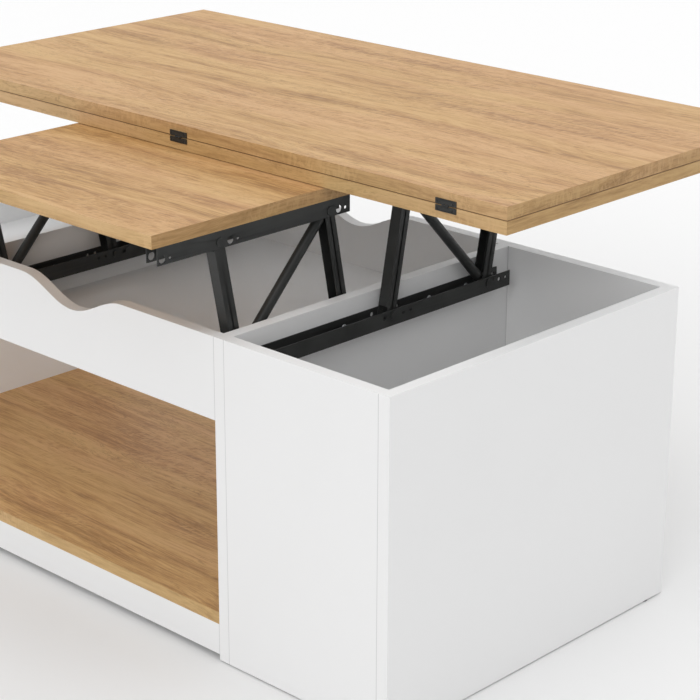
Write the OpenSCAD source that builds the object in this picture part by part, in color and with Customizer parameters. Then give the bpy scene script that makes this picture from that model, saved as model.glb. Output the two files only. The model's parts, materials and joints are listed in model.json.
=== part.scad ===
// Lift top coffee table: a white cabinet with a bin, a scooped storage bay and an oak shelf,
// under a single top and a folding double top that rise on parallelogram lifts.
// Origin: middle of the footprint on the floor. +X is right, +Y is back, +Z is up.
// Both tops are drawn raised, leaning on their stops, with the folding leaf closed.

/* [Cabinet] */
// Length of the cabinet, left to right
table_l = 1000; // [960:10:1100]
// Depth of the cabinet, front to back
table_d = 490; // [480:5:560]
// Height of the cabinet without its tops
box_h = 392; // [370:1:450]
// Thickness of every board
board_t = 15; // [15:1:16]
// Inside width of the right-hand bin
bin_w = 228; // [200:1:260]
// Width of the middle bay, between the partitions
bay_w = 434; // [400:1:450]
// Height of the front and rear rails
rail_h = 97; // [90:1:110]
// Half the width of the finger scoop in each rail
scoop_half_w = 90; // [60:1:110]
// Depth of the finger scoop
scoop_depth = 27; // [15:1:35]
// Height of the plinths
plinth_h = 38; // [34:1:60]
// Gap between the plinths and the floor
plinth_gap = 9; // [5:1:15]
// Thickness of the glides under the panels
glide_t = 2; // [1:0.5:4]

/* [Tops] */
// Overhang of the double top at each end
double_overhang = 3; // [0:1:10]
// Depth of each leaf of the double top
double_d = 500; // [490:5:560]
// Depth of the single top
single_d = 300; // [294:1:330]
// Gap between the single top and each partition
single_gap = 2; // [1:0.5:4]
// Gap between the two leaves of the double top
leaf_gap = 0.5; // [0.4:0.1:1]
// Height of the closed double top above the cabinet
rest_gap = 0.4; // [0.3:0.1:1]
// How far the single top stays below the double top
level_gap = 1; // [0.5:0.1:2]
// Distance of the outer leaf hinges from the middle
hinge_x = 420; // [300:5:450]

/* [Lifts] */
// Length of an arm between its pivots
arm_len = 149; // [146:1:152]
// Distance between the two pivots on a rail
pivot_gap = 168; // [166:1:172]
// Lean of the arms past upright when raised, in degrees
lean = 11; // [8:1:13]
// Rise of the arms above level when closed, in degrees
closed_tilt = 6; // [5.9:0.1:6.4]
// Place of the double top's front base pivot, from the middle
double_pivot_y = 0; // [-10:1:10]
// Place of the single top's rear base pivot, from the middle
single_pivot_y = -35; // [-37:1:-33]
// Radius of every pivot pin
pin_r = 3; // [2.5:0.25:3.25]
// Outside radius of a strut sleeve
sleeve_r = 6; // [5.8:0.1:6]

/* [Hidden] */
$fn = 48;

// Cabinet planes
half_l = table_l / 2;
half_d = table_d / 2;
inner_d = half_d - board_t;
end_x = half_l - board_t;
bin_x = end_x - bin_w;
bay_right_x = bin_x - board_t;
bay_left_x = bay_right_x - bay_w;
left_bay_x = bay_left_x - board_t;
rail_z = box_h - rail_h;
floor_z = rail_z + board_t;
shelf_z = plinth_gap + plinth_h;
shelf_top_z = shelf_z + board_t;
mid_t = board_t / 2;

// Section of a base rail, a U open upwards, measured from its wall and its pivots
base_w = 22;
base_t = 1.5;
base_above = 7;
base_below = 12;
base_reach = 222;
double_tail = 40;
single_tail = 25;

// Section of a top rail, a U open downwards
top_u0 = 2;
top_u1 = 20;
top_t = 1.2;
top_below = 7.5;
pivot_drop = 12.5;
top_short_end = 32;
top_long_end = 88;

// Section of an arm, a U open towards its partner
arm_u0 = 3.5;
arm_u1 = 18.5;
arm_t = 1;
arm_r = 7.5;
web_inset = 9;
stub_in = 0.2;

// Fits and small parts
running_gap = 0.08;
open_pivot_gap = 0.25;
face_gap = 0.3;
rivet_r = 5;
rivet_t = 1.5;
stop_r = 2.5;
stop_along = 4;
stop_out = 10.3;
washer_r = 5.5;
eye_u = 11;
eye_w = 5;
eye_r = 5.5;
sleeve_start = 14;
sleeve_end = 190;
sleeve_wall = 0.8;
sleeve_floor = 3;
rod_r = 1.9;
rod_len = 150;
neck_r = 2;
spring_len = 100;
spring_wire = 0.9;
spring_pitch = 2;
screw_r = 1.75;
screw_head_r = 3.5;
screw_head_t = 1.2;
screw_len = 11;
base_screw_v = [-195, -60, 84, 150];
top_screw_v = [-24, 84, 225];
base_screw_z = -4;
// Punched holes: distance from the first pivot, then radius
base_holes = [[-14, 2.6], [17, 2], [29, 2], [188, 2.4], [200, 1.8]];
top_holes = [[-14, 4.4], [-24.5, 1.9], [152, 4.4], [141, 1.9], [249, 4.4], [238, 1.9]];
top_hole_z = -1;

// Leaf hinge
plate_t = 1.2;
plate_half_w = 14.5;
plate_edge = 0.7;
plate_far = 7;
notch_half_w = 4.8;
notch_edge = 1.5;
barrel_r = 1.2;
barrel_out = 1.5;
barrel_half_w = 4.5;
barrel_mid = 1.4;
barrel_gap = 0.2;
hinge_pin_r = 0.6;
hinge_bore_gap = 0.05;
hinge_screw_x = 10.5;
hinge_screw_z = 4.25;
hinge_screw_r = 0.9;
hinge_screw_head_r = 1.6;
hinge_screw_len = 10;

// Cabinet joinery
dowel_r = 4;
dowel_half = 12;
cam_r = 7.5;
cam_depth = 12;
cam_in = 34;
cam_bolt_r = 3;
cam_bolt_out = 9;
cam_bolt_tip = 4;
glide_r = 7;
glide_y = 215;
foot_r = 14;

// Heights and places of the lifts. A lift is [pivot y, side it leans to, pivot z, rail tail]
drop_closed = pivot_drop + arm_len * sin(closed_tilt);
double_pivot_z = box_h + rest_gap - drop_closed;
single_pivot_z = double_pivot_z - board_t - level_gap;
double_lift = [double_pivot_y, 1, double_pivot_z, double_tail];
single_lift = [single_pivot_y, -1, single_pivot_z, single_tail];
rise_y = arm_len * sin(lean);
rise_z = arm_len * cos(lean);
travel_y = rise_y + arm_len * cos(closed_tilt);
strut_tilt = atan2(pivot_gap - rise_y, rise_z);

// Walls that carry the rails: [x of the face, side that the rail stands out to]
double_right_wall = [bin_x, 1];
double_left_wall = [left_bay_x, -1];
single_right_wall = [bay_right_x, -1];
single_left_wall = [bay_left_x, 1];

// Raised tops
double_under_z = double_pivot_z + rise_z + pivot_drop;
single_under_z = single_pivot_z + rise_z + pivot_drop;
double_front_y = -double_d / 2 + travel_y;
single_front_y = -single_d / 2 - travel_y;
leaf_axis_z = double_under_z + board_t + leaf_gap / 2;
hinge_places = [-hinge_x, 0, hinge_x];

white = [0.93, 0.93, 0.92];
oak = [0.80, 0.65, 0.45];
black = [0.16, 0.17, 0.17];
zinc = [0.72, 0.73, 0.75];
beech = [0.86, 0.74, 0.56];
steel = [0.55, 0.56, 0.58];
nylon = [0.25, 0.25, 0.26];

// ---- shared shapes ----

// A box between two opposite corners
module slab(lo, hi) {
    translate(lo) cube(hi - lo);
}

// A rod along X from u0 to u1
module rod_x(r, u0, u1) {
    translate([u0, 0, 0]) rotate([0, 90, 0]) cylinder(r = r, h = u1 - u0);
}

// Puts a shape drawn against the plane x = 0 on a wall
module on_wall(wall) {
    translate([wall[0], 0, 0])
        if (wall[1] < 0) mirror([1, 0, 0]) children();
        else children();
}

// Puts a shape drawn from a lift's first base pivot in its place
module in_lift(lift) {
    translate([0, lift[0], lift[2]])
        if (lift[1] < 0) mirror([0, 1, 0]) children();
        else children();
}

// Puts a shape drawn from a lift's first top pivot in its place
module on_top(lift) {
    in_lift(lift) translate([0, rise_y, rise_z]) children();
}

module double_walls() {
    on_wall(double_right_wall) children();
    on_wall(double_left_wall) children();
}

module single_walls() {
    on_wall(single_right_wall) children();
    on_wall(single_left_wall) children();
}

// ---- joinery ----

module dowel_along(axis) {
    turn = axis == 0 ? [0, 90, 0] : axis == 1 ? [90, 0, 0] : [0, 0, 0];
    rotate(turn) cylinder(r = dowel_r, h = 2 * dowel_half, center = true);
}

module dowel_set() {
    rail_y = half_d - mid_t;
    for (x = [-end_x, bay_right_x], side = [-1, 1]) {
        for (z = [rail_z + 20, box_h - 20]) translate([x, side * rail_y, z]) dowel_along(0);
        for (z = [rail_z + mid_t, shelf_z + mid_t]) translate([x, side * 140, z]) dowel_along(0);
        translate([x, side * rail_y, plinth_gap + plinth_h / 2]) dowel_along(0);
    }
    for (x = [bin_x, end_x], side = [-1, 1]) {
        for (z = [80, 200, 345]) translate([x, side * rail_y, z]) dowel_along(0);
        translate([x, side * 60, shelf_z + mid_t]) dowel_along(0);
    }
    for (side = [-1, 1]) {
        partition_x = left_bay_x + mid_t;
        translate([partition_x, side * inner_d, rail_z + rail_h / 2]) dowel_along(1);
        translate([partition_x, side * 120, floor_z]) dowel_along(2);
        for (x = [-400, -60, 170]) translate([x, side * inner_d, rail_z + mid_t]) dowel_along(1);
        for (x = [-350, 150]) translate([x, side * rail_y, shelf_z]) dowel_along(2);
        translate([0, side * inner_d, plinth_gap + plinth_h / 2]) dowel_along(1);
        for (x = [320, 420]) translate([x, side * inner_d, shelf_z + mid_t]) dowel_along(1);
    }
}

// Cam fittings of one level board: where its ends are, its underside and its cams' places
module cam_row(left_x, right_x, under_z, cam_y, locks) {
    for (end = [[left_x, 1], [right_x, -1]], side = [-1, 1])
        translate([end[0], side * cam_y, under_z])
            if (locks) translate([end[1] * cam_in, 0, 0]) cylinder(r = cam_r, h = cam_depth);
            else translate([0, 0, mid_t]) rotate([0, end[1] * 90, 0])
                translate([0, 0, -cam_bolt_out])
                    cylinder(r = cam_bolt_r, h = cam_bolt_out + cam_in - cam_r + cam_bolt_tip);
}

module cam_set(locks) {
    cam_row(-end_x, bay_right_x, rail_z, 190, locks);
    cam_row(-end_x, bay_right_x, shelf_z, 190, locks);
    cam_row(bin_x, end_x, shelf_z, 100, locks);
}

module joinery() {
    dowel_set();
    cam_set(true);
    cam_set(false);
}

module base_screw_set() {
    double_walls() in_lift(double_lift) base_screws();
    single_walls() in_lift(single_lift) base_screws();
}

// A board drilled for its dowels, cams and rail screws
module drilled(lo, hi) {
    difference() {
        slab(lo, hi);
        joinery();
        base_screw_set();
    }
}

// ---- cabinet ----

module right_end_panel() {
    color(white) drilled([end_x, -half_d, glide_t], [half_l, half_d, box_h]);
}

module left_end_panel() {
    color(white) drilled([-half_l, -half_d, glide_t], [-end_x, half_d, box_h]);
}

module right_partition() {
    color(white) drilled([bay_right_x, -half_d, glide_t], [bin_x, half_d, box_h]);
}

module left_partition() {
    color(white) drilled([left_bay_x, -inner_d, floor_z], [bay_left_x, inner_d, box_h]);
}

// Depth of the scoop at a distance from its middle
function scoop_at(x) = scoop_depth / 2 * (1 + cos(180 * x / scoop_half_w));

// Rail outline: a board whose top edge dips in one smooth wave
module rail_outline() {
    steps = 40;
    wave = [for (i = [0:steps])
        let (x = scoop_half_w * (1 - 2 * i / steps)) [x, box_h - scoop_at(x)]];
    polygon(concat(
        [[-end_x, box_h], [-end_x, rail_z], [bay_right_x, rail_z], [bay_right_x, box_h]],
        wave));
}

module scooped_rail(back_y) {
    difference() {
        translate([0, back_y, 0]) rotate([90, 0, 0]) linear_extrude(board_t) rail_outline();
        joinery();
    }
}

module front_rail() {
    color(white) scooped_rail(-inner_d);
}

module rear_rail() {
    color(white) scooped_rail(half_d);
}

module bay_floor() {
    color(white) drilled([-end_x, -inner_d, rail_z], [bay_right_x, inner_d, floor_z]);
}

module bin_front() {
    color(white) drilled([bin_x, -half_d, glide_t], [end_x, -inner_d, box_h]);
}

module bin_back() {
    color(white) drilled([bin_x, inner_d, glide_t], [end_x, half_d, box_h]);
}

module bin_floor() {
    color(white) drilled([bin_x, -inner_d, shelf_z], [end_x, inner_d, shelf_top_z]);
}

module shelf() {
    color(oak) drilled([-end_x, -half_d, shelf_z], [bay_right_x, half_d, shelf_top_z]);
}

module front_plinth() {
    color(white) drilled([-end_x, -half_d, plinth_gap], [bay_right_x, -inner_d, shelf_z]);
}

module rear_plinth() {
    color(white) drilled([-end_x, inner_d, plinth_gap], [bay_right_x, half_d, shelf_z]);
}

// Crosspiece that carries the middle of the shelf
module shelf_bearer() {
    color(white) drilled([-mid_t, -inner_d, plinth_gap], [mid_t, inner_d, shelf_z]);
}

module centre_foot() {
    color(nylon) cylinder(r = foot_r, h = plinth_gap);
}

module glides() {
    color(nylon)
        for (x = [-end_x - mid_t, bay_right_x + mid_t, end_x + mid_t], side = [-1, 1])
            translate([x, side * glide_y, 0]) cylinder(r = glide_r, h = glide_t);
}

module dowels() {
    color(beech) dowel_set();
}

// Each cam is slotted for the tip of its bolt
module cam_locks() {
    color(zinc) difference() {
        cam_set(true);
        cam_set(false);
    }
}

module cam_bolts() {
    color(zinc) cam_set(false);
}

// ---- lift parts, drawn at u from the wall, v from the first pivot, z from the pivots ----

module base_rail(tail) {
    back_v = pivot_gap + tail;
    difference() {
        slab([0, -base_reach, -base_below], [base_w, back_v, base_above]);
        slab([base_t, -base_reach - 1, base_t - base_below],
             [base_w - base_t, back_v + 1, base_above + 1]);
        for (v = [0, pivot_gap]) translate([0, v, 0]) rod_x(pin_r, -1, base_w + 1);
        at_stop() rod_x(stop_r, -1, base_w + 1);
        for (hole = base_holes)
            translate([0, hole[0], 0]) rod_x(hole[1], -1, base_w + 1);
        base_screws();
    }
}

// The stop pin lies against the second arm when it leans
module at_stop() {
    translate([0, pivot_gap, 0]) rotate([-lean, 0, 0])
        translate([0, stop_out, stop_along]) children();
}

module base_screws() {
    for (v = base_screw_v) translate([0, v, base_screw_z]) {
        rod_x(screw_r, base_t - screw_len, base_t);
        rod_x(screw_head_r, base_t, base_t + screw_head_t);
    }
}

// Two stubs in place of a pin, where the folded strut passes between them
module stub_pins(u0, u1) {
    rod_x(pin_r, u0, arm_u0 + arm_t + stub_in);
    rod_x(pin_r, arm_u1 - arm_t - stub_in, u1);
}

module base_pins() {
    stub_pins(0, base_w);
    translate([0, pivot_gap, 0]) rod_x(pin_r, 0, base_w);
    for (v = [0, pivot_gap]) translate([0, v, 0]) rod_x(rivet_r, base_w, base_w + rivet_t);
    at_stop() rod_x(stop_r, 0, base_w + rivet_t / 2);
}

module spacers() {
    for (v = [0, pivot_gap], u = [base_t, arm_u1 + face_gap])
        translate([u, v, 0]) difference() {
            rod_x(washer_r, 0, arm_u0 - face_gap - base_t);
            rod_x(pin_r, -1, base_w);
        }
}

// An arm from its base pivot upwards; web is -1 or 1, the side that its back is on
module arm(web, top_gap) {
    back = web < 0 ? -arm_r : arm_r - arm_t;
    difference() {
        union() {
            for (u = [arm_u0, arm_u1 - arm_t]) {
                slab([u, -arm_r, 0], [u + arm_t, arm_r, arm_len]);
                for (z = [0, arm_len]) translate([0, 0, z]) rod_x(arm_r, u, u + arm_t);
            }
            slab([arm_u0, back, web_inset], [arm_u1, back + arm_t, arm_len - web_inset]);
        }
        rod_x(pin_r + running_gap, 0, base_w);
        translate([0, 0, arm_len]) rod_x(pin_r + top_gap, 0, base_w);
    }
}

// The first arm carries the top; the second arm's top pivot has the open clearance
module first_arm() {
    rotate([-lean, 0, 0]) arm(-1, running_gap);
}

module second_arm() {
    translate([0, pivot_gap, 0]) rotate([-lean, 0, 0]) arm(1, open_pivot_gap);
}

module top_rail() {
    difference() {
        slab([top_u0, -top_short_end, -top_below],
             [top_u1, pivot_gap + top_long_end, pivot_drop]);
        slab([top_u0 + top_t, -top_short_end - 1, -top_below - 1],
             [top_u1 - top_t, pivot_gap + top_long_end + 1, pivot_drop - top_t]);
        for (v = [0, pivot_gap]) translate([0, v, 0]) rod_x(pin_r, 0, base_w);
        for (hole = top_holes)
            translate([0, hole[0], top_hole_z]) rod_x(hole[1], 0, base_w);
        top_screws();
    }
}

module top_pins() {
    rod_x(pin_r, top_u0, top_u1);
    translate([0, pivot_gap, 0]) stub_pins(top_u0, top_u1);
    for (v = [0, pivot_gap], u = [top_u0 - top_t, top_u1])
        translate([0, v, 0]) rod_x(rivet_r, u, u + top_t);
}

module top_screws() {
    web_z = pivot_drop - top_t;
    for (v = top_screw_v) translate([eye_u, v, web_z]) {
        cylinder(r = screw_r, h = screw_len);
        translate([0, 0, -screw_head_t]) cylinder(r = screw_head_r, h = screw_head_t);
    }
}

module eye() {
    rod_x(eye_r, eye_u - eye_w / 2, eye_u + eye_w / 2);
}

module eye_bore() {
    rod_x(pin_r + running_gap, 0, base_w);
}

// Puts a strut part drawn upwards from the second base pivot in its place
module along_strut() {
    translate([0, pivot_gap, 0]) rotate([strut_tilt, 0, 0]) children();
}

module strut_sleeve() {
    along_strut() difference() {
        union() {
            eye();
            translate([eye_u, 0, 0]) cylinder(r = neck_r, h = sleeve_start + 1);
            translate([eye_u, 0, sleeve_start])
                cylinder(r = sleeve_r, h = sleeve_end - sleeve_start);
        }
        eye_bore();
        translate([eye_u, 0, sleeve_start + sleeve_floor])
            cylinder(r = sleeve_r - sleeve_wall, h = sleeve_end);
    }
}

// A close-wound spring, drawn as a tube with a groove for each turn
module strut_spring() {
    out_r = sleeve_r - sleeve_wall;
    in_r = out_r - spring_wire;
    turns = floor(spring_len / spring_pitch);
    groove = spring_wire / 3;
    outline = concat(
        [[in_r, 0]],
        [for (i = [0:turns - 1]) each
            [[out_r - groove, i * spring_pitch], [out_r, (i + 0.5) * spring_pitch]]],
        [[out_r - groove, turns * spring_pitch], [in_r, turns * spring_pitch]]);
    along_strut() translate([eye_u, 0, sleeve_start + sleeve_floor])
        rotate_extrude() polygon(outline);
}

module strut_rod() {
    strut_len = norm([pivot_gap - rise_y, rise_z]);
    along_strut() translate([0, 0, strut_len]) difference() {
        union() {
            eye();
            translate([eye_u, 0, -rod_len]) cylinder(r = rod_r, h = rod_len);
        }
        eye_bore();
    }
}

// ---- lift nodes ----

module double_right_base_rail() {
    color(black) on_wall(double_right_wall) in_lift(double_lift) base_rail(double_tail);
}

module double_left_base_rail() {
    color(black) on_wall(double_left_wall) in_lift(double_lift) base_rail(double_tail);
}

module single_right_base_rail() {
    color(black) on_wall(single_right_wall) in_lift(single_lift) base_rail(single_tail);
}

module single_left_base_rail() {
    color(black) on_wall(single_left_wall) in_lift(single_lift) base_rail(single_tail);
}

module base_rail_screws() {
    color(zinc) base_screw_set();
}

module double_base_pins() {
    color(steel) double_walls() in_lift(double_lift) base_pins();
}

module single_base_pins() {
    color(steel) single_walls() in_lift(single_lift) base_pins();
}

module double_spacers() {
    color(nylon) double_walls() in_lift(double_lift) spacers();
}

module single_spacers() {
    color(nylon) single_walls() in_lift(single_lift) spacers();
}

module double_right_front_arm() {
    color(black) on_wall(double_right_wall) in_lift(double_lift) first_arm();
}

module double_left_front_arm() {
    color(black) on_wall(double_left_wall) in_lift(double_lift) first_arm();
}

module double_right_rear_arm() {
    color(black) on_wall(double_right_wall) in_lift(double_lift) second_arm();
}

module double_left_rear_arm() {
    color(black) on_wall(double_left_wall) in_lift(double_lift) second_arm();
}

module single_right_front_arm() {
    color(black) on_wall(single_right_wall) in_lift(single_lift) second_arm();
}

module single_left_front_arm() {
    color(black) on_wall(single_left_wall) in_lift(single_lift) second_arm();
}

module single_right_rear_arm() {
    color(black) on_wall(single_right_wall) in_lift(single_lift) first_arm();
}

module single_left_rear_arm() {
    color(black) on_wall(single_left_wall) in_lift(single_lift) first_arm();
}

module double_right_top_rail() {
    color(black) on_wall(double_right_wall) on_top(double_lift) top_rail();
}

module double_left_top_rail() {
    color(black) on_wall(double_left_wall) on_top(double_lift) top_rail();
}

module single_right_top_rail() {
    color(black) on_wall(single_right_wall) on_top(single_lift) top_rail();
}

module single_left_top_rail() {
    color(black) on_wall(single_left_wall) on_top(single_lift) top_rail();
}

module double_top_pins() {
    color(steel) double_walls() on_top(double_lift) top_pins();
}

module single_top_pins() {
    color(steel) single_walls() on_top(single_lift) top_pins();
}

module double_top_screws() {
    color(zinc) double_walls() on_top(double_lift) top_screws();
}

module single_top_screws() {
    color(zinc) single_walls() on_top(single_lift) top_screws();
}

module double_strut_sleeves() {
    color(black) double_walls() in_lift(double_lift) strut_sleeve();
}

module double_strut_springs() {
    color(steel) double_walls() in_lift(double_lift) strut_spring();
}

module double_strut_rods() {
    color(steel) double_walls() in_lift(double_lift) strut_rod();
}

module single_strut_sleeves() {
    color(black) single_walls() in_lift(single_lift) strut_sleeve();
}

module single_strut_springs() {
    color(steel) single_walls() in_lift(single_lift) strut_spring();
}

module single_strut_rods() {
    color(steel) single_walls() in_lift(single_lift) strut_rod();
}

// ---- tops ----

module lower_leaf() {
    x = half_l + double_overhang;
    color(oak) difference() {
        slab([-x, double_front_y, double_under_z],
             [x, double_front_y + double_d, double_under_z + board_t]);
        double_walls() on_top(double_lift) top_screws();
        hinge_screws(-1);
    }
}

module upper_leaf() {
    x = half_l + double_overhang;
    under_z = double_under_z + board_t + leaf_gap;
    color(oak) difference() {
        slab([-x, double_front_y, under_z],
             [x, double_front_y + double_d, under_z + board_t]);
        hinge_screws(1);
    }
}

module single_top_board() {
    color(oak) difference() {
        slab([bay_left_x + single_gap, single_front_y, single_under_z],
             [bay_right_x - single_gap, single_front_y + single_d, single_under_z + board_t]);
        single_walls() on_top(single_lift) top_screws();
    }
}

// ---- leaf hinges, drawn round the leaf axis on the front edges ----

module at_hinges() {
    for (x = hinge_places) translate([x, double_front_y, leaf_axis_z]) children();
}

// One plate with its share of the barrel; side is -1 for the lower leaf and 1 for the upper
module hinge_plate(side) {
    spans = side < 0
        ? [[-barrel_mid, barrel_mid]]
        : [[-barrel_half_w, -barrel_mid - barrel_gap], [barrel_mid + barrel_gap, barrel_half_w]];
    difference() {
        union() {
            difference() {
                translate([-plate_half_w, -plate_t, side < 0 ? -plate_far : plate_edge])
                    cube([2 * plate_half_w, plate_t, plate_far - plate_edge]);
                slab([-notch_half_w, -2 * plate_t, -notch_edge],
                     [notch_half_w, plate_t, notch_edge]);
            }
            for (span = spans) {
                translate([span[0], -plate_t, side < 0 ? -notch_edge : 0])
                    cube([span[1] - span[0], plate_t - face_gap, notch_edge]);
                translate([0, -barrel_out, 0]) rod_x(barrel_r, span[0], span[1]);
            }
        }
        translate([0, -barrel_out, 0])
            rod_x(hinge_pin_r + hinge_bore_gap, -plate_half_w, plate_half_w);
        screws_of_plate(side);
    }
}

module screws_of_plate(side) {
    for (x = [-hinge_screw_x, hinge_screw_x])
        translate([x, 0, side * hinge_screw_z]) rotate([-90, 0, 0]) {
            translate([0, 0, -plate_t]) cylinder(r = hinge_screw_head_r, h = plate_t);
            cylinder(r = hinge_screw_r, h = hinge_screw_len);
        }
}

module hinge_screws(side) {
    at_hinges() screws_of_plate(side);
}

module lower_hinge_plates() {
    color(black) at_hinges() hinge_plate(-1);
}

module upper_hinge_plates() {
    color(black) at_hinges() hinge_plate(1);
}

module hinge_pins() {
    color(steel) at_hinges() translate([0, -barrel_out, 0])
        rod_x(hinge_pin_r, -barrel_half_w, barrel_half_w);
}

module lower_hinge_screws() {
    color(black) hinge_screws(-1);
}

module upper_hinge_screws() {
    color(black) hinge_screws(1);
}

// ---- nodes ----

right_end_panel();
left_end_panel();
right_partition();
left_partition();
front_rail();
rear_rail();
bay_floor();
bin_front();
bin_back();
bin_floor();
shelf();
front_plinth();
rear_plinth();
shelf_bearer();
centre_foot();
glides();
dowels();
cam_locks();
cam_bolts();
double_right_base_rail();
double_left_base_rail();
single_right_base_rail();
single_left_base_rail();
base_rail_screws();
double_base_pins();
single_base_pins();
double_spacers();
single_spacers();
double_right_front_arm();
double_left_front_arm();
double_right_rear_arm();
double_left_rear_arm();
single_right_front_arm();
single_left_front_arm();
single_right_rear_arm();
single_left_rear_arm();
double_right_top_rail();
double_left_top_rail();
single_right_top_rail();
single_left_top_rail();
double_top_pins();
single_top_pins();
double_top_screws();
single_top_screws();
double_strut_sleeves();
double_strut_springs();
double_strut_rods();
single_strut_sleeves();
single_strut_springs();
single_strut_rods();
lower_leaf();
upper_leaf();
single_top_board();
lower_hinge_plates();
upper_hinge_plates();
hinge_pins();
lower_hinge_screws();
upper_hinge_screws();
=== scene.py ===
"""Looks of the lift top coffee table: finishes, soft edges, screws, floor, light and camera."""

import json
import math

import bpy
from mathutils import Euler, Matrix, Vector


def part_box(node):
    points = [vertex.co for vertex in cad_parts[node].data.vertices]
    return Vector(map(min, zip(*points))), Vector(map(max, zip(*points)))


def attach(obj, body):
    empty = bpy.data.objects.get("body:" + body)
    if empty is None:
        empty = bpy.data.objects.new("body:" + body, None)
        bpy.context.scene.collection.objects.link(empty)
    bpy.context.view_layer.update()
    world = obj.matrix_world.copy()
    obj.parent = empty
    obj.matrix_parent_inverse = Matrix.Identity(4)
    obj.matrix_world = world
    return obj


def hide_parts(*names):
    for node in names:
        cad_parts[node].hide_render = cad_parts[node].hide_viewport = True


MM = 0.001

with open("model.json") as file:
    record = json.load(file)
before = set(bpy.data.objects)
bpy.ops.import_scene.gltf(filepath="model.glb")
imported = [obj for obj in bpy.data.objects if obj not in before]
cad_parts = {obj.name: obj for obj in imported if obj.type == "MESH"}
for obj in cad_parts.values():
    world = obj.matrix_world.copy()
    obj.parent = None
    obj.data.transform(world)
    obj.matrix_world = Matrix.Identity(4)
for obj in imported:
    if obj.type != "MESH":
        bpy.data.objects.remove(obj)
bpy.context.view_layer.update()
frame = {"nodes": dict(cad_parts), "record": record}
cad_nodes = frame["nodes"]


# ---- node trees ----

class Shader:
    """A material's node tree with short calls for making and joining nodes."""

    def __init__(self, name):
        self.material = bpy.data.materials.new(name)
        self.material.use_nodes = True
        self.tree = self.material.node_tree
        self.surface = self.tree.nodes["Principled BSDF"]
        self.coordinates = self.tree.nodes.new("ShaderNodeTexCoord").outputs["Object"]

    def set(self, **values):
        """Sets constants on the Principled shader, such as Roughness or IOR."""
        for name, value in values.items():
            self.surface.inputs[name.replace("_", " ")].default_value = value
        return self

    def link(self, source, target):
        self.tree.links.new(source, target)

    def put(self, socket, value):
        """Joins value to a node's socket if it is an output, or else sets it."""
        if isinstance(value, bpy.types.NodeSocket):
            self.link(value, socket)
        else:
            socket.default_value = value

    def placed(self, scale, offset=(0, 0, 0), source=None, turn=(0, 0, 0)):
        """Object coordinates times scale, turned, plus offset."""
        mapping = self.tree.nodes.new("ShaderNodeMapping")
        self.link(source or self.coordinates, mapping.inputs["Vector"])
        mapping.inputs["Scale"].default_value = scale
        mapping.inputs["Rotation"].default_value = turn
        mapping.inputs["Location"].default_value = offset
        return mapping.outputs["Vector"]

    def noise(self, vector, detail=2.0, roughness=0.5, distortion=0.0):
        node = self.tree.nodes.new("ShaderNodeTexNoise")
        self.link(vector, node.inputs["Vector"])
        node.inputs["Scale"].default_value = 1.0
        node.inputs["Detail"].default_value = detail
        node.inputs["Roughness"].default_value = roughness
        node.inputs["Distortion"].default_value = distortion
        return node.outputs["Fac"]

    def maths(self, operation, a, b=0.0):
        node = self.tree.nodes.new("ShaderNodeMath")
        node.operation = operation
        self.put(node.inputs[0], a)
        self.put(node.inputs[1], b)
        return node.outputs[0]

    def spread(self, value, low, high, to_low=0.0, to_high=1.0):
        """Maps value from low..high to to_low..to_high, and holds it there."""
        node = self.tree.nodes.new("ShaderNodeMapRange")
        node.interpolation_type = "SMOOTHSTEP"
        self.link(value, node.inputs["Value"])
        node.inputs["From Min"].default_value = low
        node.inputs["From Max"].default_value = high
        node.inputs["To Min"].default_value = to_low
        node.inputs["To Max"].default_value = to_high
        return node.outputs["Result"]

    def mixed(self, share, a, b, blend="MIX"):
        node = self.tree.nodes.new("ShaderNodeMix")
        node.data_type = "RGBA"
        node.blend_type = blend
        self.put(node.inputs["Factor"], share)
        self.put(node.inputs["A"], a if isinstance(a, bpy.types.NodeSocket) else (*a, 1))
        self.put(node.inputs["B"], b if isinstance(b, bpy.types.NodeSocket) else (*b, 1))
        return node.outputs["Result"]

    def off_plane(self, axis, place):
        """Distance from a plane square to an axis."""
        split = self.tree.nodes.new("ShaderNodeSeparateXYZ")
        self.link(self.coordinates, split.inputs[0])
        return self.maths("ABSOLUTE", self.maths("SUBTRACT", split.outputs[axis], place))

    def bumped(self, height, depth, strength=1.0):
        node = self.tree.nodes.new("ShaderNodeBump")
        node.inputs["Strength"].default_value = strength
        node.inputs["Distance"].default_value = depth
        self.link(height, node.inputs["Height"])
        self.link(node.outputs["Normal"], self.surface.inputs["Normal"])

    def colour(self, source):
        self.link(source, self.surface.inputs["Base Color"])

    def rough(self, source):
        self.link(source, self.surface.inputs["Roughness"])


# ---- finishes ----

def grain_axes(along, fast, slow):
    """Scale of a grain that is long on one axis: slow along it and fast across it."""
    return tuple(slow if axis == along else fast for axis in "xyz")


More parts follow.
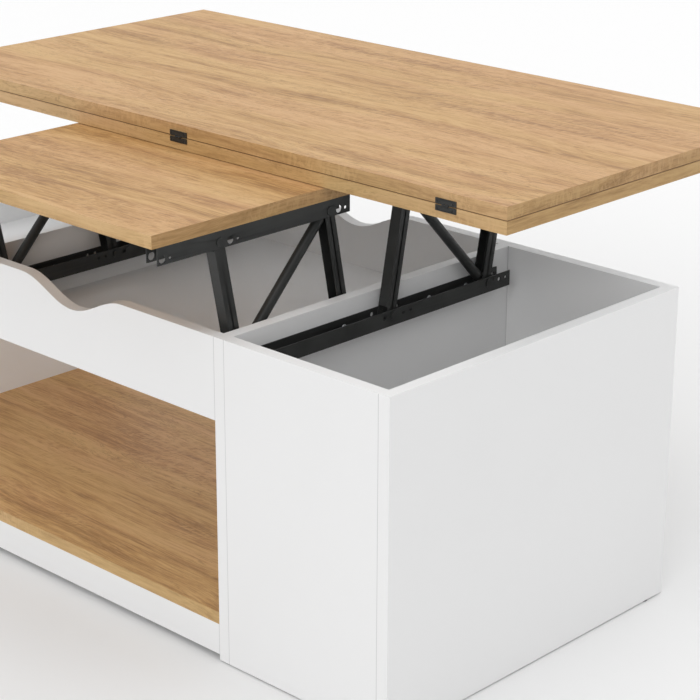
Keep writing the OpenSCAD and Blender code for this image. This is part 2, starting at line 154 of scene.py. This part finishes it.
def oak(name, along, offset, dark, middle, light, seam=None):
    """Printed oak: bands, streaks, flames, thin veins, fine fibres, pores and faint saw marks.

    seam is the height of a dark line of painted shade, on the edge band of boards that lie on each
    other.
    """
    s = Shader(name)
    s.set(IOR=1.45, Specular_IOR_Level=0.3)
    sway = s.noise(s.placed(grain_axes(along, 5.0, 1.6), offset), detail=2.0)
    pull = s.maths("MULTIPLY", s.maths("SUBTRACT", sway, 0.5), 0.10)
    shift = s.tree.nodes.new("ShaderNodeCombineXYZ")
    for axis in "XYZ":
        if axis != along.upper():
            s.link(pull, shift.inputs[axis])
    swayed = s.tree.nodes.new("ShaderNodeVectorMath")
    swayed.operation = "ADD"
    s.link(s.coordinates, swayed.inputs[0])
    s.link(shift.outputs[0], swayed.inputs[1])
    bent = swayed.outputs[0]

    def grain(across, lengthwise, detail, roughness, distortion=0.0):
        place = s.placed(grain_axes(along, across, lengthwise), offset, bent)
        return s.noise(place, detail, roughness, distortion)

    band = grain(34.0, 1.7, 4.0, 0.58)
    streak = grain(100.0, 7.5, 5.0, 0.68)
    hair = grain(310.0, 15.0, 4.0, 0.66)
    fibre = grain(600.0, 50.0, 4.0, 0.72)
    flame = grain(50.0, 15.0, 4.0, 0.75, 2.6)
    vein = grain(52.0, 6.0, 4.0, 0.70, 1.4)
    hue = grain(14.0, 2.2, 3.0, 0.55)
    pore = s.noise(s.placed(grain_axes(along, 1500.0, 130.0), offset), 2.0, 0.6)
    where = s.noise(s.placed(grain_axes(along, 10.0, 2.4), offset), 1.0)
    skewed = s.placed((1.0, 1.0, 1.0), turn=(0, 0, SAW_ANGLE))
    sawn = s.noise(s.placed(grain_axes(along, 70.0, 250.0), offset, skewed), 3.0, 0.6, 0.6)
    sawn_where = s.noise(s.placed(grain_axes(along, 14.0, 5.0), offset), 2.0)

    tone = s.maths("ADD", s.maths("MULTIPLY", band, 0.42), s.maths("MULTIPLY", streak, 0.24))
    tone = s.maths("ADD", tone, s.maths("MULTIPLY", hair, 0.34))
    base = s.mixed(s.spread(tone, 0.37, 0.50), dark, middle)
    base = s.mixed(s.spread(tone, 0.46, 0.58), base, light)
    flames = s.maths("MULTIPLY", s.spread(flame, 0.53, 0.66), s.spread(where, 0.52, 0.60))
    base = s.mixed(s.maths("MULTIPLY", flames, 0.60), base, dark)
    ridge = s.spread(s.maths("ABSOLUTE", s.maths("SUBTRACT", vein, 0.5)), 0.020, 0.004)
    veins = s.maths("MULTIPLY", ridge, s.spread(where, 0.42, 0.52))
    base = s.mixed(s.maths("MULTIPLY", veins, 0.50), base, dark)
    base = s.mixed(s.spread(fibre, 0.48, 0.66, 0.0, 0.36), base, light)
    base = s.mixed(s.spread(fibre, 0.48, 0.32, 0.0, 0.24), base, dark)
    base = s.mixed(s.spread(pore, 0.40, 0.28, 0.0, 0.30), base, dark)
    marks = s.maths("MULTIPLY", s.spread(sawn, 0.48, 0.58), s.spread(sawn_where, 0.47, 0.56))
    base = s.mixed(s.maths("MULTIPLY", marks, 0.55), base, light)
    tint = s.mixed(s.spread(hue, 0.36, 0.64), YELLOWER, PINKER)
    base = s.mixed(s.spread(band, 0.2, 0.8, 0.9, 1.0), base, tint, "MULTIPLY")
    # Painted shade: a dark line along the seam where the two boards lie on each other
    if seam is not None:
        base = s.mixed(s.spread(s.off_plane("Z", seam), 0.8 * MM, 0.3 * MM), base, SEAM_SHADE)
    s.colour(base)
    s.rough(s.spread(fibre, 0.3, 0.7, 0.50, 0.40))
    s.bumped(s.maths("ADD", fibre, s.maths("MULTIPLY", streak, 0.5)), 0.12 * MM, 0.4)
    return s.material


def board_white(name, tint, ends=()):
    """White melamine: a fine pearl texture with a faint, slow change of tone.

    ends are the x of a board's ends, where a grey hairline of painted shade marks each butt joint.
    """
    s = Shader(name)
    s.set(IOR=1.45)
    slow = s.noise(s.placed((3.0, 3.0, 3.0)), 3.0)
    fine = s.noise(s.placed((1400.0, 1400.0, 1400.0)), 2.0)
    shade = tuple(0.985 * c for c in tint)
    base = s.mixed(s.spread(slow, 0.35, 0.65), shade, tint)
    # Painted shade: a grey hairline at each end, where the board butts against a panel
    for end in ends:
        base = s.mixed(s.spread(s.off_plane("X", end), 1.0 * MM, 0.5 * MM), base, JOINT_SHADE)
    s.colour(base)
    s.rough(s.spread(fine, 0.3, 0.7, 0.36, 0.46))
    s.bumped(fine, 0.03 * MM, 0.35)
    return s.material


def powder_coat(name):
    """Satin black powder coat: orange peel, and edges lighter, partly from the thinner film there
    and partly as a painted highlight.
    """
    s = Shader(name)
    s.set(IOR=1.5, Specular_IOR_Level=0.32)
    peel = s.noise(s.placed((650.0, 650.0, 650.0)), 2.0, 0.55)
    patch = s.noise(s.placed((22.0, 22.0, 22.0)), 3.0)
    edge = s.tree.nodes.new("ShaderNodeNewGeometry").outputs["Pointiness"]
    base = s.mixed(s.spread(patch, 0.35, 0.65), (0.027, 0.028, 0.027), (0.036, 0.037, 0.036))
    # Edges lighter: partly the thinner coat, partly a painted highlight
    s.colour(s.mixed(s.spread(edge, 0.54, 0.64, 0.0, 0.35), base, (0.062, 0.063, 0.061)))
    s.rough(s.spread(peel, 0.3, 0.7, 0.38, 0.50))
    s.bumped(peel, 0.06 * MM, 0.5)
    return s.material


def bare_metal(name, low, high, rough_low, rough_high, scratch):
    """Plated or drawn steel: fine scratches in one direction and a cloudy tone."""
    s = Shader(name)
    s.set(Metallic=1.0, IOR=2.5)
    cloud = s.noise(s.placed((160.0, 160.0, 160.0)), 3.0)
    lines = s.noise(s.placed(scratch), 3.0, 0.6)
    s.colour(s.mixed(s.spread(cloud, 0.35, 0.65), low, high))
    s.rough(s.spread(lines, 0.3, 0.7, rough_low, rough_high))
    s.bumped(lines, 0.02 * MM, 0.4)
    return s.material


def moulded_nylon(name):
    """Matt moulded nylon with a fine spark-eroded texture."""
    s = Shader(name)
    s.set(IOR=1.5)
    grit = s.noise(s.placed((900.0, 900.0, 900.0)), 3.0)
    s.colour(s.mixed(s.spread(grit, 0.3, 0.7), (0.040, 0.040, 0.043), (0.060, 0.060, 0.063)))
    s.rough(s.spread(grit, 0.3, 0.7, 0.55, 0.68))
    s.bumped(grit, 0.05 * MM, 0.6)
    return s.material


def beech(name):
    """Plain beech with short flecks."""
    s = Shader(name)
    flecks = s.noise(s.placed((500.0, 500.0, 900.0)), 3.0)
    s.colour(s.mixed(s.spread(flecks, 0.35, 0.65), (0.62, 0.42, 0.24), (0.76, 0.58, 0.38)))
    s.rough(s.spread(flecks, 0.3, 0.7, 0.55, 0.7))
    return s.material


# Angle between the saw marks and the grain
SAW_ANGLE = math.radians(42)
OAK_DARK = (0.350, 0.184, 0.074)
OAK_MIDDLE = (0.565, 0.325, 0.138)
OAK_LIGHT = (0.690, 0.440, 0.208)
YELLOWER = (0.985, 0.99, 0.92)
PINKER = (1.0, 0.965, 0.985)
LONG_BAND_DARK = (0.440, 0.270, 0.120)
LONG_BAND_MIDDLE = (0.590, 0.380, 0.178)
LONG_BAND_LIGHT = (0.680, 0.460, 0.230)
BAND_DARK = (0.335, 0.195, 0.078)
BAND_MIDDLE = (0.490, 0.300, 0.130)
BAND_LIGHT = (0.570, 0.370, 0.175)
# Colour of the painted shade in the seam between the leaves
SEAM_SHADE = (0.150, 0.085, 0.040)
WHITE = (0.915, 0.915, 0.915)
# Colour of the painted shade in the butt joints
JOINT_SHADE = (0.62, 0.62, 0.62)

# Edge softening: points closer than WELD_GAP are one, edges steeper than BEVEL_ANGLE are rounded
WELD_GAP = 0.002 * MM
BEVEL_ANGLE = math.radians(35)
SMOOTH_ANGLE = math.radians(40)
BEVEL_SEGMENTS = 2
WHITE_EDGE = 0.7 * MM
OAK_EDGE = 0.6 * MM


def soften(piece, width):
    """Rounds a piece's edges and keeps its flat faces flat. The mesh itself isn't touched."""
    weld = piece.modifiers.new("weld", "WELD")
    weld.merge_threshold = WELD_GAP
    bevel = piece.modifiers.new("soft_edges", "BEVEL")
    bevel.width = width
    bevel.segments = BEVEL_SEGMENTS
    bevel.limit_method = "ANGLE"
    bevel.angle_limit = BEVEL_ANGLE
    bevel.use_clamp_overlap = True
    smooth(piece)
    weighted = piece.modifiers.new("flat_faces", "WEIGHTED_NORMAL")
    weighted.keep_sharp = True
    weighted.weight = 100


def smooth(piece):
    modifier = piece.modifiers.new("smooth_by_angle", "NODES")
    modifier.node_group = smooth_by_angle()


def smooth_by_angle():
    """A node group that smooths every edge flatter than SMOOTH_ANGLE."""
    name = "smooth_by_angle"
    group = bpy.data.node_groups.get(name)
    if group:
        return group
    group = bpy.data.node_groups.new(name, "GeometryNodeTree")
    group.interface.new_socket("Geometry", in_out="INPUT", socket_type="NodeSocketGeometry")
    group.interface.new_socket("Geometry", in_out="OUTPUT", socket_type="NodeSocketGeometry")
    way_in = group.nodes.new("NodeGroupInput")
    way_out = group.nodes.new("NodeGroupOutput")
    faces = group.nodes.new("GeometryNodeSetShadeSmooth")
    faces.domain = "FACE"
    edges = group.nodes.new("GeometryNodeSetShadeSmooth")
    edges.domain = "EDGE"
    edges.inputs["Shade Smooth"].default_value = False
    angle = group.nodes.new("GeometryNodeInputMeshEdgeAngle")
    steep = group.nodes.new("FunctionNodeCompare")
    steep.operation = "GREATER_THAN"
    steep.inputs["B"].default_value = SMOOTH_ANGLE
    group.links.new(angle.outputs["Unsigned Angle"], steep.inputs["A"])
    group.links.new(way_in.outputs["Geometry"], faces.inputs["Geometry"])
    group.links.new(faces.outputs["Geometry"], edges.inputs["Geometry"])
    group.links.new(steep.outputs["Result"], edges.inputs["Selection"])
    group.links.new(edges.outputs["Geometry"], way_out.inputs["Geometry"])
    return group


def dress(node, *materials):
    """Gives a CAD node its materials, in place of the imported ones."""
    mesh = cad_nodes[node].data
    mesh.materials.clear()
    for material in materials:
        mesh.materials.append(material)


def dress_oak(node, offset, underside=None, seam=None):
    """Oak on a board's two faces, and edge band on its edges with the grain along each edge."""
    face_oak = oak(node + "_oak", "x", offset, OAK_DARK, OAK_MIDDLE, OAK_LIGHT)
    long_band = oak(node + "_long_band", "x", offset,
                    LONG_BAND_DARK, LONG_BAND_MIDDLE, LONG_BAND_LIGHT, seam)
    end_band = oak(node + "_end_band", "y", offset, BAND_DARK, BAND_MIDDLE, BAND_LIGHT, seam)
    dress(node, end_band, long_band, face_oak, underside or face_oak)
    for face in cad_nodes[node].data.polygons:
        across = max(range(3), key=lambda axis: abs(face.normal[axis]))
        faces_down = across == 2 and face.normal.z < 0
        face.material_index = 3 if faces_down else across


# ---- the table ----

# Endings of the white boards that butt against the upright panels
BETWEEN_PANELS = ("rail", "plinth", "front", "back")


def finish_boards():
    white = board_white("white_board", WHITE)
    for part in frame["record"]["subparts"]:
        node = part["node"]
        if part["material_slot"] == "white_board":
            if node.endswith(BETWEEN_PANELS):
                ends = [corner[0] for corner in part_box(node)]
                # The y-facing faces get hairlines of painted shade at the board's ends
                dress(node, white, board_white(node + "_jointed", WHITE, ends))
                for face in cad_nodes[node].data.polygons:
                    face.material_index = int(abs(face.normal.y) > 0.5)
            else:
                dress(node, white)
            soften(cad_nodes[node], WHITE_EDGE)
    leaf_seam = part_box("upper_leaf")[0][2]
    boards = {
        "upper_leaf": (None, leaf_seam),
        "lower_leaf": (white, leaf_seam),
        "single_top_board": (None, None),
        "shelf": (None, None),
    }
    for count, (node, (underside, seam)) in enumerate(boards.items()):
        dress_oak(node, (3.7 * count, 5.3 * count, 1.9 * count), underside, seam)
        soften(cad_nodes[node], OAK_EDGE)


def finish_metal():
    finishes = {
        "black_steel": (powder_coat("black_steel"), 0.4 * MM),
        "pin_steel": (powder_coat("pin_steel"), 0.5 * MM),
        "zinc_steel": (bare_metal("zinc_steel", (0.55, 0.56, 0.58), (0.70, 0.71, 0.72),
                                  0.26, 0.40, (900.0, 90.0, 900.0)), 0.3 * MM),
        "rod_steel": (bare_metal("rod_steel", (0.30, 0.31, 0.33), (0.42, 0.43, 0.45),
                                 0.24, 0.36, (90.0, 1200.0, 1200.0)), 0.15 * MM),
        "black_nylon": (moulded_nylon("black_nylon"), 0.3 * MM),
        "beech_dowel": (beech("beech_dowel"), 0.8 * MM),
    }
    for part in frame["record"]["subparts"]:
        if part["material_slot"] in finishes:
            material, width = finishes[part["material_slot"]]
            dress(part["node"], material)
            soften(cad_nodes[part["node"]], width)
    # Bright, although their slot is pin_steel, because the photo's hinges have light slits
    dress("hinge_pins", finishes["zinc_steel"][0])


# ---- screws ----

# Outline of a domed head, from its top to its underside, in shares of its height and radius
HEAD_OUTLINE = ((0.0, 0.45), (0.08, 0.75), (0.25, 0.93), (0.55, 1.0), (1.0, 1.0))
SCREW_SIDES = 18
RINGS_PER_TURN = 5
# Thread and point, in shares of the shank's radius
CORE_SHARE = 0.72
PITCH_SHARE = 0.9
POINT_LENGTH = 2.2
POINT_TIP = 0.15
# Cross recess, in shares of the head's radius and height
RECESS_WIDTH = 0.24
RECESS_REACH = 1.1
RECESS_DEPTH = 0.75
# Body and slot of each node of plain screws
SCREWS = {
    "base_rail_screws": ("cabinet", "zinc_steel"),
    "double_top_screws": ("double_top", "zinc_steel"),
    "single_top_screws": ("single_top", "zinc_steel"),
    "lower_hinge_screws": ("double_top", "pin_steel"),
    "upper_hinge_screws": ("upper_leaf", "pin_steel"),
}


def islands(node):
    """The separate solids of a CAD node, each as a list of its points."""
    mesh = cad_nodes[node].data
    places = [tuple(round(value, 6) for value in vertex.co) for vertex in mesh.vertices]
    leader = {place: place for place in places}

    def first(place):
        while leader[place] != place:
            leader[place] = leader[leader[place]]
            place = leader[place]
        return place

    for face in mesh.polygons:
        corners = [places[index] for index in face.vertices]
        for corner in corners[1:]:
            leader[first(corner)] = first(corners[0])
    groups = {}
    for place in sorted(leader):
        groups.setdefault(first(place), []).append(Vector(place))
    return list(groups.values())


def measured(points):
    """Place, direction and sizes of one plain screw: a disc for its head on a thinner shank."""
    low = Vector(min(point[axis] for point in points) for axis in range(3))
    high = Vector(max(point[axis] for point in points) for axis in range(3))
    along = max(range(3), key=lambda axis: high[axis] - low[axis])
    middle = (low + high) / 2

    def radius(point):
        off = point - middle
        off[along] = 0
        return off.length

    head_r = max(map(radius, points))
    head = [point[along] for point in points if radius(point) > 0.95 * head_r]
    shank = [radius(point) for point in points if radius(point) > 0.1 * MM]
    into = Vector((0, 0, 0))
    at_low = min(head) - low[along] < high[along] - max(head)
    into[along] = 1 if at_low else -1
    top = middle.copy()
    top[along] = low[along] if at_low else high[along]
    return top, into, head_r, max(head) - min(head), min(shank), high[along] - low[along]


def screw_shape(head_r, head_t, shank_r, length):
    """Points and faces of a screw along +Z from the top of its head, with a thread and a point."""
    core, pitch = CORE_SHARE * shank_r, PITCH_SHARE * shank_r
    rings = [(height * head_t, share * head_r, 0.0) for height, share in HEAD_OUTLINE]
    steps = round((length - head_t) / pitch * RINGS_PER_TURN)
    for step in range(steps + 1):
        height = head_t + (length - head_t) * step / steps
        taper = min(1.0, POINT_TIP + (length - height) / (POINT_LENGTH * shank_r))
        rings.append((height, core * taper, (shank_r - core) * taper))
    points = []
    for height, radius, crest in rings:
        for side in range(SCREW_SIDES):
            share = (height / pitch - side / SCREW_SIDES) % 1
            out = radius + crest * (1 - abs(2 * share - 1))
            angle = 2 * math.pi * side / SCREW_SIDES
            points.append((out * math.cos(angle), out * math.sin(angle), height))
    faces = [tuple(range(SCREW_SIDES))[::-1]]
    for ring in range(len(rings) - 1):
        for side in range(SCREW_SIDES):
            here, there = ring * SCREW_SIDES, (side + 1) % SCREW_SIDES
            above = here + SCREW_SIDES
            faces.append((here + side, here + there, above + there, above + side))
    last = (len(rings) - 1) * SCREW_SIDES
    faces.append(tuple(range(last, last + SCREW_SIDES)))
    return points, faces


def block(width, length, depth):
    """Points and faces of a block centred on the origin, reaching depth both ways along Z."""
    points = [(x, y, z) for x in (-width / 2, width / 2)
              for y in (-length / 2, length / 2) for z in (-depth, depth)]
    faces = [(0, 1, 3, 2), (4, 6, 7, 5), (0, 4, 5, 1), (2, 3, 7, 6), (0, 2, 6, 4), (1, 5, 7, 3)]
    return points, faces


def mesh_object(name, points, faces):
    mesh = bpy.data.meshes.new(name)
    mesh.from_pydata([tuple(point) for point in points], [], faces)
    mesh.update()
    made = bpy.data.objects.new(name, mesh)
    bpy.context.scene.collection.objects.link(made)
    return made


def recessed_screw(head_r, head_t, shank_r, length):
    """The screw with a cross recess cut into its head, as points and faces."""
    screw = mesh_object("screw", *screw_shape(head_r, head_t, shank_r, length))
    cutters = []
    width, reach = RECESS_WIDTH * head_r, RECESS_REACH * head_r
    for sides in ((width, reach), (reach, width)):
        cutter = mesh_object("recess", *block(*sides, RECESS_DEPTH * head_t))
        cut = screw.modifiers.new("recess", "BOOLEAN")
        cut.operation = "DIFFERENCE"
        cut.solver = "EXACT"
        cut.object = cutter
        cutters.append(cutter)
    bpy.context.view_layer.update()
    cut_mesh = screw.evaluated_get(bpy.context.evaluated_depsgraph_get()).to_mesh()
    points = [vertex.co.copy() for vertex in cut_mesh.vertices]
    faces = [tuple(face.vertices) for face in cut_mesh.polygons]
    for spent in (screw, *cutters):
        bpy.data.objects.remove(spent)
    return points, faces


def make_screws(node, body, slot):
    """Threaded screws with a cross recess, in place of a node's plain ones."""
    points, faces = [], []
    # A node's screws are all alike, so the first one's shape serves them all
    shape = None
    for solid in islands(node):
        top, into, *sizes = measured(solid)
        if shape is None:
            shape = recessed_screw(*sizes)
        turn = into.to_track_quat("Z", "Y").to_matrix().to_4x4()
        placed = Matrix.Translation(top) @ turn
        faces.extend(tuple(len(points) + index for index in face) for face in shape[1])
        points.extend(placed @ point for point in shape[0])
    piece = mesh_object(node + "_threaded", points, faces)
    piece.data.materials.append(bpy.data.materials[slot])
    smooth(piece)
    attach(piece, body)
    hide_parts(node)


def fit_screws():
    for node, (body, slot) in SCREWS.items():
        make_screws(node, body, slot)


# ---- floor, light and camera ----

# A soft dome, with what it gains towards the right, the back and the top, and two broad lamps
DOME = 0.30
GAIN_RIGHT = -0.20
GAIN_BACK = 0.55
GAIN_TOP = 0.44
OVERHEAD = 0.80
FRONT = 0.76
LAMP_DISTANCE = 3

FLOOR_SIZE = 30
# Painted shade: the floor is greyer near the table and pale far from it
FLOOR_SHADE_GREY = (0.87, 0.87, 0.87)
FLOOR_PALE = (0.98, 0.98, 0.98)

# The photo's viewpoint, solved from the cabinet's straight edges
CAMERA_PLACE = (1.8271, -1.6875, 1.1547)
CAMERA_YAW = math.radians(43.773)
CAMERA_PITCH = math.radians(19.983)
CAMERA_ROLL = math.radians(0.158)
CAMERA_LENS = 108.72
CAMERA_SENSOR = 36


def make_floor():
    """A pale floor with painted shade: a little greyer near the table."""
    bpy.ops.mesh.primitive_plane_add(size=FLOOR_SIZE, location=(0, 0, 0))
    floor = bpy.context.object
    floor.name = "floor"
    s = Shader("pale_floor")
    reach = s.tree.nodes.new("ShaderNodeVectorMath")
    reach.operation = "LENGTH"
    s.link(s.coordinates, reach.inputs[0])
    s.colour(s.mixed(s.spread(reach.outputs["Value"], 0.5, 2.2), FLOOR_SHADE_GREY, FLOOR_PALE))
    s.set(Roughness=0.7)
    floor.data.materials.append(s.material)


def broad_lamp(name, azimuth, elevation, spread, strength):
    """A distant soft lamp. Azimuth 0 stands in front of the table and 90 to its right.

    spread is its width in degrees.
    """
    light = bpy.data.lights.new(name, "SUN")
    light.angle = math.radians(spread)
    light.energy = strength
    lamp = bpy.data.objects.new(name, light)
    turn, lift = math.radians(azimuth), math.radians(elevation)
    lamp.location = LAMP_DISTANCE * Vector(
        (math.sin(turn) * math.cos(lift), -math.cos(turn) * math.cos(lift), math.sin(lift)))
    lamp.rotation_euler = lamp.location.to_track_quat("Z", "Y").to_euler()
    bpy.context.scene.collection.objects.link(lamp)


def make_light():
    world = bpy.data.worlds.new("studio")
    world.use_nodes = True
    tree = world.node_tree
    sky = tree.nodes.new("ShaderNodeTexCoord")
    parts = tree.nodes.new("ShaderNodeSeparateXYZ")
    tree.links.new(sky.outputs["Generated"], parts.inputs[0])
    background = tree.nodes["Background"]
    background.inputs["Color"].default_value = (1, 1, 1, 1)
    level = None
    for axis, gain in (("X", GAIN_RIGHT), ("Y", GAIN_BACK), ("Z", GAIN_TOP)):
        towards = tree.nodes.new("ShaderNodeMath")
        towards.operation = "MAXIMUM"
        tree.links.new(parts.outputs[axis], towards.inputs[0])
        towards.inputs[1].default_value = 0.0
        total = tree.nodes.new("ShaderNodeMath")
        total.operation = "MULTIPLY_ADD"
        tree.links.new(towards.outputs[0], total.inputs[0])
        total.inputs[1].default_value = gain
        if level:
            tree.links.new(level, total.inputs[2])
        else:
            total.inputs[2].default_value = DOME
        level = total.outputs[0]
    tree.links.new(level, background.inputs["Strength"])
    bpy.context.scene.world = world
    broad_lamp("overhead", 0, 80, 60, OVERHEAD)
    broad_lamp("front", 28, 26, 40, FRONT)
    bpy.context.scene.view_settings.view_transform = "Standard"


def make_camera():
    level = Euler((math.pi / 2 - CAMERA_PITCH, 0, CAMERA_YAW)).to_matrix()
    aimed = level @ Matrix.Rotation(CAMERA_ROLL, 3, "Z")
    camera = bpy.data.cameras.new("camera")
    camera.lens = CAMERA_LENS
    camera.sensor_width = CAMERA_SENSOR
    view = bpy.data.objects.new("camera", camera)
    view.location = CAMERA_PLACE
    view.rotation_euler = aimed.to_euler()
    bpy.context.scene.collection.objects.link(view)
    bpy.context.scene.camera = view


finish_boards()
finish_metal()
fit_screws()
make_floor()
make_light()
make_camera()
